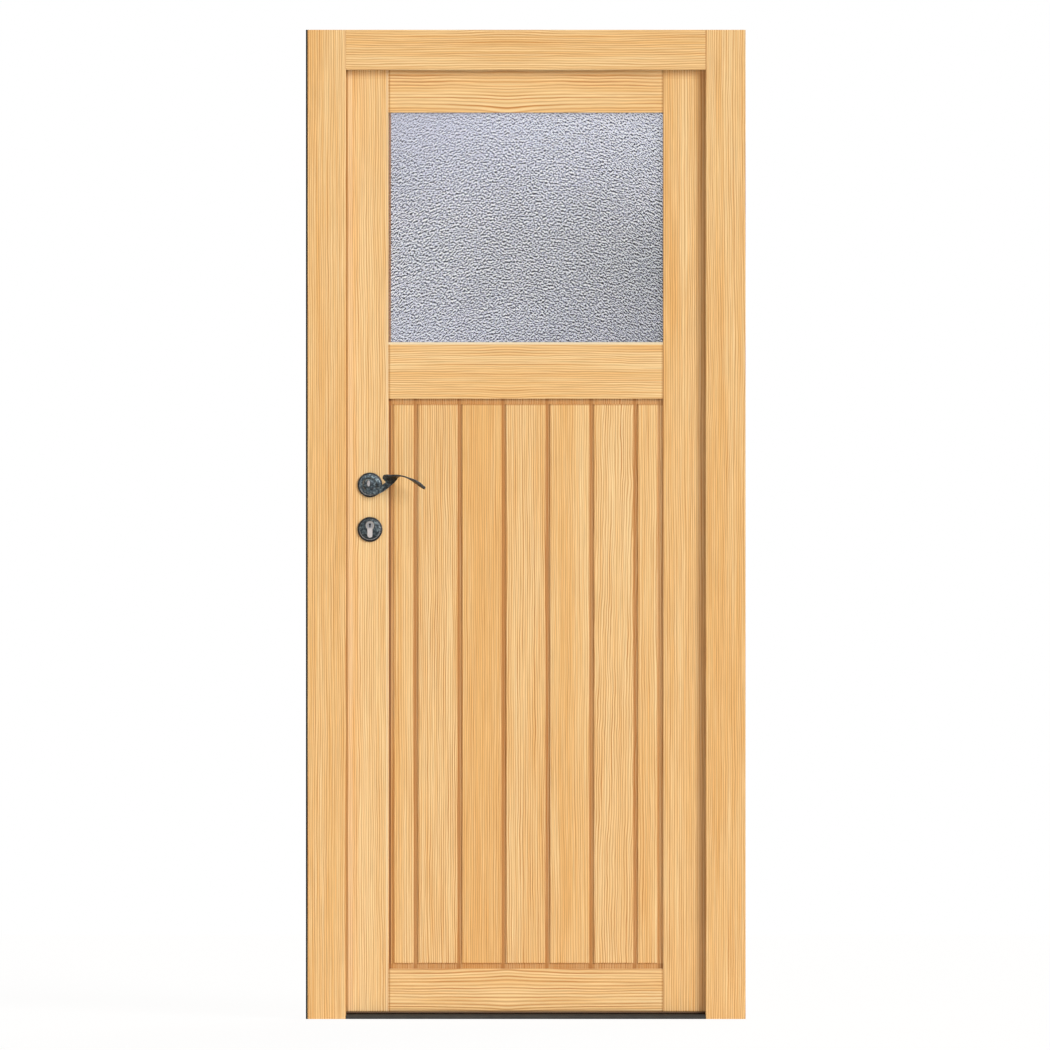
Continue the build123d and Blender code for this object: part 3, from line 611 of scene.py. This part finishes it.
def hammered(node, body, sheen):
    """A CAD piece remeshed finely and dented inwards all over, as forged iron is."""
    mesh = nodes[node].data.copy()
    piece = bpy.data.objects.new(f"hammered_{node}", mesh)
    scene.collection.objects.link(piece)
    remesh = piece.modifiers.new("even", "REMESH")
    remesh.mode = "VOXEL"
    remesh.voxel_size = HAMMER_VOXEL
    smooth = piece.modifiers.new("soften", "SMOOTH")
    smooth.factor = 0.5
    smooth.iterations = 2
    bpy.context.view_layer.update()
    shape = piece.evaluated_get(bpy.context.evaluated_depsgraph_get())
    piece.data = bpy.data.meshes.new_from_object(shape)
    piece.modifiers.clear()
    dented = []
    for vertex in piece.data.vertices:
        distances, _ = noise.voronoi(vertex.co / HAMMER_SIZE)
        dent = min(1.0, distances[1] - distances[0])
        place = vertex.co - vertex.normal * HAMMER_DEPTH * dent
        place += drawn_out(vertex) if "lever" in node else vertex.normal * HAMMER_DEPTH
        dented.extend(place)
    piece.data.vertices.foreach_set("co", dented)
    piece.data.shade_smooth()
    piece.data.materials.clear()
    piece.data.materials.append(forged_iron(node, sheen))
    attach(piece, body)
    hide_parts(node)


for side in ("outside", "inside"):
    hammered(f"lever_{side}", "handle", 0.75)
    hammered(f"handle_rose_{side}", "leaf", 1.0)
    hammered(f"key_rose_{side}", "leaf", 0.40)


# Screws and bead pins: round heads with a cross recess
HEAD_SEGMENTS = 48
HEAD_RINGS = 12

# Shares of a head's radius: its dome and skirt, and the recess's half width, reach and depth
HEAD_DOME = 0.20
HEAD_SKIRT = 0.25
CROSS = (0.15, 0.62)
CROSS_DEPTH = 0.16


def heads(name, body, material, radius, outward, places):
    """Screw heads of one size that face one way, as one piece."""
    turn = Vector(outward).to_track_quat("Z", "Y").to_matrix()
    form = bmesh.new()
    for place in places:
        rings = []
        for ring in range(HEAD_RINGS + 1):
            out = ring / HEAD_RINGS
            line = []
            for step in range(HEAD_SEGMENTS):
                angle = 2.0 * math.pi * step / HEAD_SEGMENTS
                u, v = out * math.cos(angle), out * math.sin(angle)
                narrow, wide = sorted((abs(u), abs(v)))
                recess = CROSS_DEPTH if narrow < CROSS[0] and wide < CROSS[1] else 0.0
                point = Vector((u, v, HEAD_DOME * (1.0 - out**4) - recess))
                line.append(form.verts.new(Vector(place) + turn @ (point * radius)))
            rings.append(line)
        skirt = Vector(outward) * radius * HEAD_SKIRT
        rings.append([form.verts.new(corner.co - skirt) for corner in rings[-1]])
        for inner, outer in zip(rings, rings[1:]):
            for i in range(HEAD_SEGMENTS):
                following = (i + 1) % HEAD_SEGMENTS
                form.faces.new((inner[i], outer[i], outer[following], inner[following]))
        form.faces.new(rings[-1][::-1])
    bmesh.ops.remove_doubles(form, verts=form.verts, dist=1e-7)
    mesh = bpy.data.meshes.new(name)
    form.to_mesh(mesh)
    form.free()
    mesh.materials.append(material)
    piece = bpy.data.objects.new(name, mesh)
    scene.collection.objects.link(piece)
    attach(piece, body)


PLATE_SCREW = 0.0040
PLATE_SCREW_INSET = 0.010  # from the plate's end


def plate_screws(node, body, outward):
    """Two screws, one near each end of an upright plate on a leaf or jamb edge."""
    low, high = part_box(node)
    face = high.x if outward > 0 else low.x
    middle = (low.y + high.y) / 2
    heights = (low.z + PLATE_SCREW_INSET, high.z - PLATE_SCREW_INSET)
    places = [(face, middle, z) for z in heights]
    heads(f"{node}_screws", body, steel, PLATE_SCREW, (outward, 0.0, 0.0), places)


plate_screws("strike_plate", "frame", 1.0)
plate_screws("mortise_lock", "leaf", -1.0)

INDOORS = (0.0, 1.0, 0.0)
ROSE_SCREW = 0.0028
ROSE_SCREW_REACH = 0.0195
ROSE_SCREW_HEIGHT = 0.0058  # of the dome above the leaf, where the screws sit
ROSE_SCREW_LINES = {
    "handle_rose_inside": Vector((0.0, 0.0, 1.0)),
    "key_rose_inside": Vector((1.0, 0.0, 0.0)),
}
black_steel = brushed(
    "black_steel", (0.020, 0.022, 0.025), (0.060, 0.066, 0.072), 0.42, (300, 300, 300)
)
rose_screws = []
for node, direction in ROSE_SCREW_LINES.items():
    low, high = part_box(node)
    centre = (low + high) / 2
    seat = Vector((centre.x, low.y + ROSE_SCREW_HEIGHT, centre.z))
    rose_screws += [seat + direction * ROSE_SCREW_REACH, seat - direction * ROSE_SCREW_REACH]
heads("rose_screws", "leaf", black_steel, ROSE_SCREW, INDOORS, rose_screws)

PIN = 0.0010
PIN_PITCH = 0.15
PIN_PLACE = 0.4  # across a bead, from its side by the wood
pins = []
for opening in ("glazing_bead", "panel_bead"):
    for position in ("top", "bottom", "left", "right"):
        low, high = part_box(f"{opening}_{position}")
        upright = position in ("left", "right")
        length = high.z - low.z if upright else high.x - low.x
        count = round(length / PIN_PITCH)
        for i in range(count):
            along = (i + 0.5) / count
            across = PIN_PLACE if position in ("left", "bottom") else 1.0 - PIN_PLACE
            x = low.x + (high.x - low.x) * (across if upright else along)
            z = low.z + (high.z - low.z) * (along if upright else across)
            pins.append((x, high.y, z))
heads("bead_pins", "leaf", black_steel, PIN, INDOORS, pins)

# Glass: a rolled, pebbled outer pane and a clear inner one
PEBBLE_STEP = 0.00178
PEBBLE_WIDTH = 0.0038
PEBBLE_HEIGHT = 0.0038
PEBBLE_ARCH = 0.85  # how steeply the pebbles' rows fall away to both sides
PEBBLE_DEPTH = 0.0006
EMBOSS = 0.0008  # how far up and down the slope of the pebbles is felt
SPECK = 0.0027  # size of the fine specks between the pebbles
PANE_SHADE_EDGE = -0.2700  # how far painted shade shows along the pane's left edge


def pebble(place):
    """Height of the rolled texture at a place, about 0 to 1."""
    across = place.z + PEBBLE_ARCH * place.x**2
    return 0.5 + 0.7 * noise.noise(Vector((place.x / PEBBLE_WIDTH, 0.0, across / PEBBLE_HEIGHT)))


def textured_glass(node):
    """Rolled glass, silvery, with the pebbles' light and shade painted in: white highlights and dark
    lines boldest below the middle, and shade to the lower right.
    """
    tree = Tree("textured_glass")
    low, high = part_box(node)
    x, y, z = tree.split(tree.position())
    across = tree.total(z, tree.product(x, x, PEBBLE_ARCH))
    cells = (1.0 / PEBBLE_WIDTH, 0.0, 1.0 / PEBBLE_HEIGHT)
    above = tree.noise(tree.scaled(x, y, tree.total(across, EMBOSS), cells), detail=2.5)
    below = tree.noise(tree.scaled(x, y, tree.total(across, -EMBOSS), cells), detail=2.5)
    slope = tree.math("SUBTRACT", above, below)
    specks = tree.noise(tree.scaled(x, y, z, (1.0 / SPECK, 0.0, 1.0 / SPECK)), detail=1.0)
    relief = tree.total(slope, tree.product(tree.math("SUBTRACT", specks, 0.5), 0.5))
    cloud = tree.noise(tree.position(), scale=6.0, detail=2.0)
    to_right = tree.span(x, low.x, high.x, 0.0, 1.0)
    to_foot = tree.span(z, high.z, low.z, 0.0, 1.0)
    bold = tree.product(
        tree.span(to_foot, 0.0, 0.55, 0.0, 1.0), tree.span(to_foot, 0.70, 1.0, 1.0, 0.35)
    )
    contrast = tree.total(0.30, tree.product(bold, 1.30), tree.product(to_right, 0.50))
    # Painted shade towards the lower right of the pane
    lower_right_shade = tree.product(
        tree.span(to_right, 0.2, 1.0, 0.15, 1.0), tree.span(to_foot, 0.1, 0.8, 0.0, 1.0)
    )
    tone = tree.total(tree.product(relief, contrast, 2.7), tree.product(lower_right_shade, -0.05), 0.53)
    # The pebbles' painted light and shade, from dark lines to white highlights
    relief_light_and_shade = tree.ramp(
        tone,
        (0.10, (0.004, 0.004, 0.008)),
        (0.33, (0.17, 0.17, 0.24)),
        (0.49, (0.60, 0.61, 0.74)),
        (0.66, (0.83, 0.84, 0.98)),
        (0.96, (1.00, 1.00, 1.00)),
    )
    # Painted light to the upper right and painted shade to the upper left, fading by the middle
    upper_light_and_shade = tree.product(
        tree.span(to_right, 0.0, 0.6, -0.08, 0.08), tree.span(to_foot, 0.0, 0.5, 1.0, 0.0)
    )
    mottle = tree.product(tree.math("SUBTRACT", cloud, 0.5), 0.16)
    shade_light_and_mottle = tree.total(1.03, tree.product(lower_right_shade, -0.24), upper_light_and_shade, mottle)
    dimmed = tree.mix(1.0, relief_light_and_shade, tree.join(shade_light_and_mottle, shade_light_and_mottle, shade_light_and_mottle), "MULTIPLY")
    edge = (PANE_SHADE_EDGE - STRIP_SOFTNESS, PANE_SHADE_EDGE + STRIP_SOFTNESS)
    # Painted shade along the pane's left edge, beside the stile
    edge_shaded = tree.mix(tree.span(x, *edge, 0.85, 0.0), dimmed, JOINT_AND_SHADE_BROWN)
    tree.set(Base_Color=edge_shaded, Normal=tree.bump(above, PEBBLE_DEPTH, 0.35))
    tree.shader.inputs["Roughness"].default_value = 0.15
    tree.shader.inputs["Transmission Weight"].default_value = 0.75
    tree.shader.inputs["IOR"].default_value = 1.5
    return tree.material


def clear_glass():
    """Clear float glass with faint smears."""
    tree = Tree("clear_glass")
    smear = tree.noise(tree.position(), scale=9.0, detail=3.0)
    tree.set(
        Base_Color=tree.ramp(smear, (0.3, (0.86, 0.91, 0.90)), (0.7, (0.93, 0.96, 0.95))),
        Roughness=tree.span(smear, 0.3, 0.7, 0.02, 0.06),
    )
    tree.shader.inputs["Transmission Weight"].default_value = 1.0
    tree.shader.inputs["IOR"].default_value = 1.45
    return tree.material


def pebbled_pane(node):
    """The outer pane with its rolled face outdoors and a flat back."""
    low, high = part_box(node)
    size = high - low
    columns = round(size.x / PEBBLE_STEP)
    rows = round(size.z / PEBBLE_STEP)
    form = bmesh.new()
    front = []
    for row in range(rows + 1):
        line = []
        for column in range(columns + 1):
            x, z = low.x + size.x * column / columns, low.z + size.z * row / rows
            place = Vector((x, low.y, z))
            edge = column in (0, columns) or row in (0, rows)
            sunk = 0.0 if edge else PEBBLE_DEPTH * (1.0 - min(1.0, max(0.0, pebble(place))))
            line.append(form.verts.new(place + Vector((0.0, sunk, 0.0))))
        front.append(line)
    for lower, upper in zip(front, front[1:]):
        for column in range(columns):
            corners = (lower[column], lower[column + 1], upper[column + 1], upper[column])
            form.faces.new(corners).smooth = True
    rising = [line[-1] for line in front[1:]]
    falling = [line[0] for line in front[-2:0:-1]]
    rim = front[0] + rising + front[-1][-2::-1] + falling
    back = [form.verts.new((corner.co.x, high.y, corner.co.z)) for corner in rim]
    for i, corner in enumerate(rim):
        following = (i + 1) % len(rim)
        form.faces.new((corner, back[i], back[following], rim[following]))
    form.faces.new(back)
    mesh = bpy.data.meshes.new("pebbled_pane")
    form.to_mesh(mesh)
    form.free()
    mesh.materials.append(textured_glass(node))
    piece = bpy.data.objects.new("pebbled_pane", mesh)
    scene.collection.objects.link(piece)
    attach(piece, "leaf")
    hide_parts(node)


pebbled_pane("outer_pane")
dress("inner_pane", clear_glass())

# Camera: a long lens square to the door, as the flat elevation of the photo
PHOTO_WIDTH = 2.1015  # metres across the photo at the frame's outer face
LENS = 500.0
SENSOR = 36.0
FACE_BEHIND_LEVER = 0.037  # how far the frame's outer face lies behind the lever's front
CAMERA_ASIDE = -0.0015
CAMERA_HEIGHT = 0.9888
camera_data = bpy.data.cameras.new("camera")
camera_data.lens = LENS
camera_data.sensor_width = SENSOR
camera_data.clip_end = 100.0
camera = bpy.data.objects.new("camera", camera_data)
distance = PHOTO_WIDTH * LENS / SENSOR
camera.location = (CAMERA_ASIDE, cad_box[0][1] - distance + FACE_BEHIND_LEVER, CAMERA_HEIGHT)
camera.rotation_euler = (math.radians(90.0), 0.0, 0.0)
scene.collection.objects.link(camera)
scene.camera = camera


# Light: a soft key from the upper right in front, one from behind, a low bounce from the left
def sun(name, energy, angle, towards):
    """A sun lamp that shines from a direction."""
    data = bpy.data.lights.new(name, "SUN")
    data.energy = energy
    data.angle = math.radians(angle)
    data.color = (1.0, 0.985, 0.965)
    lamp = bpy.data.objects.new(name, data)
    lamp.rotation_euler = Vector(towards).to_track_quat("Z", "Y").to_euler()
    scene.collection.objects.link(lamp)


sun("key", 1.92, 28.0, (0.78, -1.0, 0.46))
sun("back", 1.40, 40.0, (0.30, 1.0, 0.45))
bounce_data = bpy.data.lights.new("bounce", "AREA")
bounce_data.energy = 48.0
bounce_data.size = 2.0
bounce = bpy.data.objects.new("bounce", bounce_data)
bounce.location = (-2.2, -7.0, 0.5)
bounce.rotation_euler = (bounce.location - Vector((0.0, 0.0, 1.0))).to_track_quat("Z", "Y").to_euler()
scene.collection.objects.link(bounce)

# Surround: white where it is seen, mirrored or looked through, and a dimmer warm fill elsewhere
SURROUND = 0.36
FILL = (1.0, 0.88, 0.72)
world = bpy.data.worlds.new("surround")
scene.world = world
world.use_nodes = True
surround = world.node_tree.nodes["Background"]
path = world.node_tree.nodes.new("ShaderNodeLightPath")
seen = path.outputs["Is Camera Ray"]
for ray in ("Is Glossy Ray", "Is Transmission Ray"):
    either = world.node_tree.nodes.new("ShaderNodeMath")
    either.operation = "MAXIMUM"
    world.node_tree.links.new(seen, either.inputs[0])
    world.node_tree.links.new(path.outputs[ray], either.inputs[1])
    seen = either.outputs[0]
level = world.node_tree.nodes.new("ShaderNodeMapRange")
world.node_tree.links.new(seen, level.inputs["Value"])
level.inputs["To Min"].default_value = SURROUND
level.inputs["To Max"].default_value = 1.0
world.node_tree.links.new(level.outputs[0], surround.inputs["Strength"])
tone = world.node_tree.nodes.new("ShaderNodeMix")
tone.data_type = "RGBA"
world.node_tree.links.new(seen, tone.inputs[0])
tone.inputs[6].default_value = (*FILL, 1.0)
tone.inputs[7].default_value = (1.0, 1.0, 1.0, 1.0)
world.node_tree.links.new(tone.outputs[2], surround.inputs["Color"])


# Floor: pale, white to the camera, with the door's shadow
def floor():
    """A square of floor that belongs to the stage."""
    mesh = bpy.data.meshes.new("floor")
    form = bmesh.new()
    bmesh.ops.create_grid(form, x_segments=8, y_segments=8, size=6.0)
    form.to_mesh(mesh)
    form.free()
    piece = bpy.data.objects.new("floor", mesh)
    scene.collection.objects.link(piece)
    tree = Tree("floor")
    tree.nodes.remove(tree.shader)
    pale = tree.nodes.new("ShaderNodeBsdfDiffuse")
    pale.inputs["Color"].default_value = (0.86, 0.86, 0.86, 1.0)
    white = tree.nodes.new("ShaderNodeEmission")
    white.inputs["Strength"].default_value = 1.04
    lit = tree.nodes.new("ShaderNodeMixShader")
    camera_ray = tree.add("ShaderNodeLightPath", "Is Camera Ray")
    tree.links.new(tree.product(camera_ray, 0.90), lit.inputs[0])
    tree.links.new(pale.outputs[0], lit.inputs[1])
    tree.links.new(white.outputs[0], lit.inputs[2])
    tree.links.new(lit.outputs[0], tree.output.inputs["Surface"])
    mesh.materials.append(tree.material)


floor()

scene.view_settings.view_transform = "Standard"
